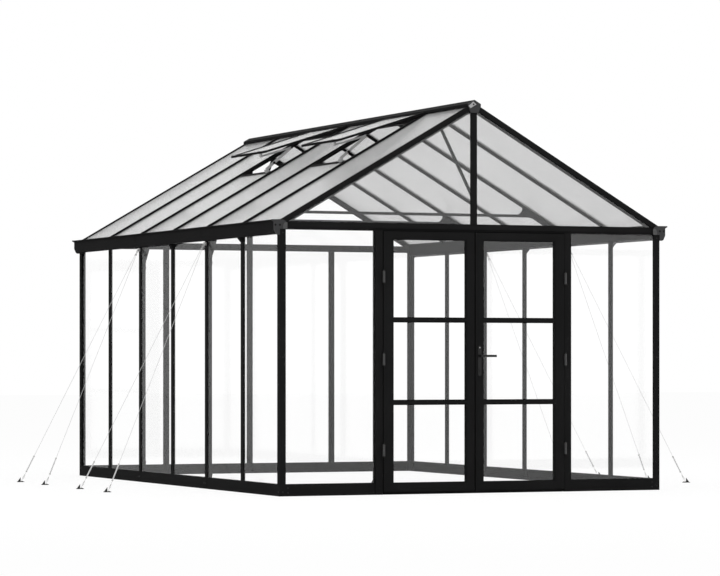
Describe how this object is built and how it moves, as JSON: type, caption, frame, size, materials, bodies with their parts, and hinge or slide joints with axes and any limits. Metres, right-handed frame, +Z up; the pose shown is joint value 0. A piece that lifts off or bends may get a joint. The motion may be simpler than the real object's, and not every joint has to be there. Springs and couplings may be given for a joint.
{
  "type": "glass greenhouse",
  "caption": "Walk-in greenhouse with clear walls, translucent pitched roof, double glazed doors, roof vents, gutters and guy cables.",
  "frame": {"origin": "middle of the building's footprint on the ground", "axes": "+Z up, -Y through the double door, X across the gable"},
  "size_m": [4.82, 4.596, 2.8378],
  "materials": {
    "painted_frame": "satin",
    "dark_caps": "matte",
    "clear_sheet": "clear",
    "roof_sheet": "translucent",
    "grey_fittings": "satin",
    "door_frame": "satin",
    "handle": "gloss",
    "cable": "stranded",
    "anchor": "matte"
  },
  "bodies": {
    "greenhouse": {"base_rails_right": "painted_frame", "base_rails_left": "painted_frame", "base_rails_front": "painted_frame", "base_rail_back": "painted_frame", "door_threshold": "painted_frame", "corner_posts": "painted_frame", "side_posts_right": "painted_frame", "side_posts_left": "painted_frame", "back_posts": "painted_frame", "truss_columns": "painted_frame", "door_jambs": "painted_frame", "eave_plate_right": "painted_frame", "eave_plate_left": "painted_frame", "eave_beam_front": "painted_frame", "eave_beam_back": "painted_frame", "gutter_right": "painted_frame", "gutter_left": "painted_frame", "gutter_brackets": "painted_frame", "gable_rafters_front": "painted_frame", "gable_rafters_back": "painted_frame", "gable_posts": "painted_frame", "rafters_right": "painted_frame", "rafters_left": "painted_frame", "ridge_beam": "painted_frame", "truss_ties": "painted_frame", "truss_haunches": "painted_frame", "ridge_braces": "painted_frame", "vent_sills": "painted_frame", "vent_frames": "painted_frame", "gutter_end_caps": "dark_caps", "ridge_end_caps": "dark_caps", "wall_panels_right": "clear_sheet", "wall_panels_left": "clear_sheet", "wall_panels_back": "clear_sheet", "wall_panels_front": "clear_sheet", "gable_panels_front": "clear_sheet", "gable_panels_back": "clear_sheet", "roof_panels_right": "roof_sheet", "roof_panels_left": "roof_sheet", "vent_panels": "roof_sheet", "vent_openers": "grey_fittings", "hinge_pins": "grey_fittings", "guy_cables_right": "cable", "guy_cables_left": "cable", "cable_lugs": "cable", "ground_anchors": "anchor"},
    "left_door": {"door_leaf_left": "door_frame", "door_panes_left": "clear_sheet", "hinge_leaves_left": "grey_fittings"},
    "right_door": {"door_leaf_right": "door_frame", "door_panes_right": "clear_sheet", "hinge_leaves_right": "grey_fittings", "door_cover_strip": "door_frame", "handle_plates": "handle"},
    "lever": {"door_lever": "handle"}
  },
  "joints": [
    {"name": "left_door_hinge", "type": "hinge", "parent": "greenhouse", "child": "left_door", "pos_m": [-0.722, -2.287, 0.95], "axis": [0, 0, -1], "range_deg": [0, 110]},
    {"name": "right_door_hinge", "type": "hinge", "parent": "greenhouse", "child": "right_door", "pos_m": [0.722, -2.287, 0.95], "axis": [0, 0, 1], "range_deg": [0, 110]},
    {"name": "lever_turn", "type": "hinge", "parent": "right_door", "child": "lever", "pos_m": [0.0345, -2.256, 0.99], "axis": [0, 1, 0], "range_deg": [0, 40], "stiffness_Nm_per_rad": 2, "springref_deg": -20.05}
  ]
}
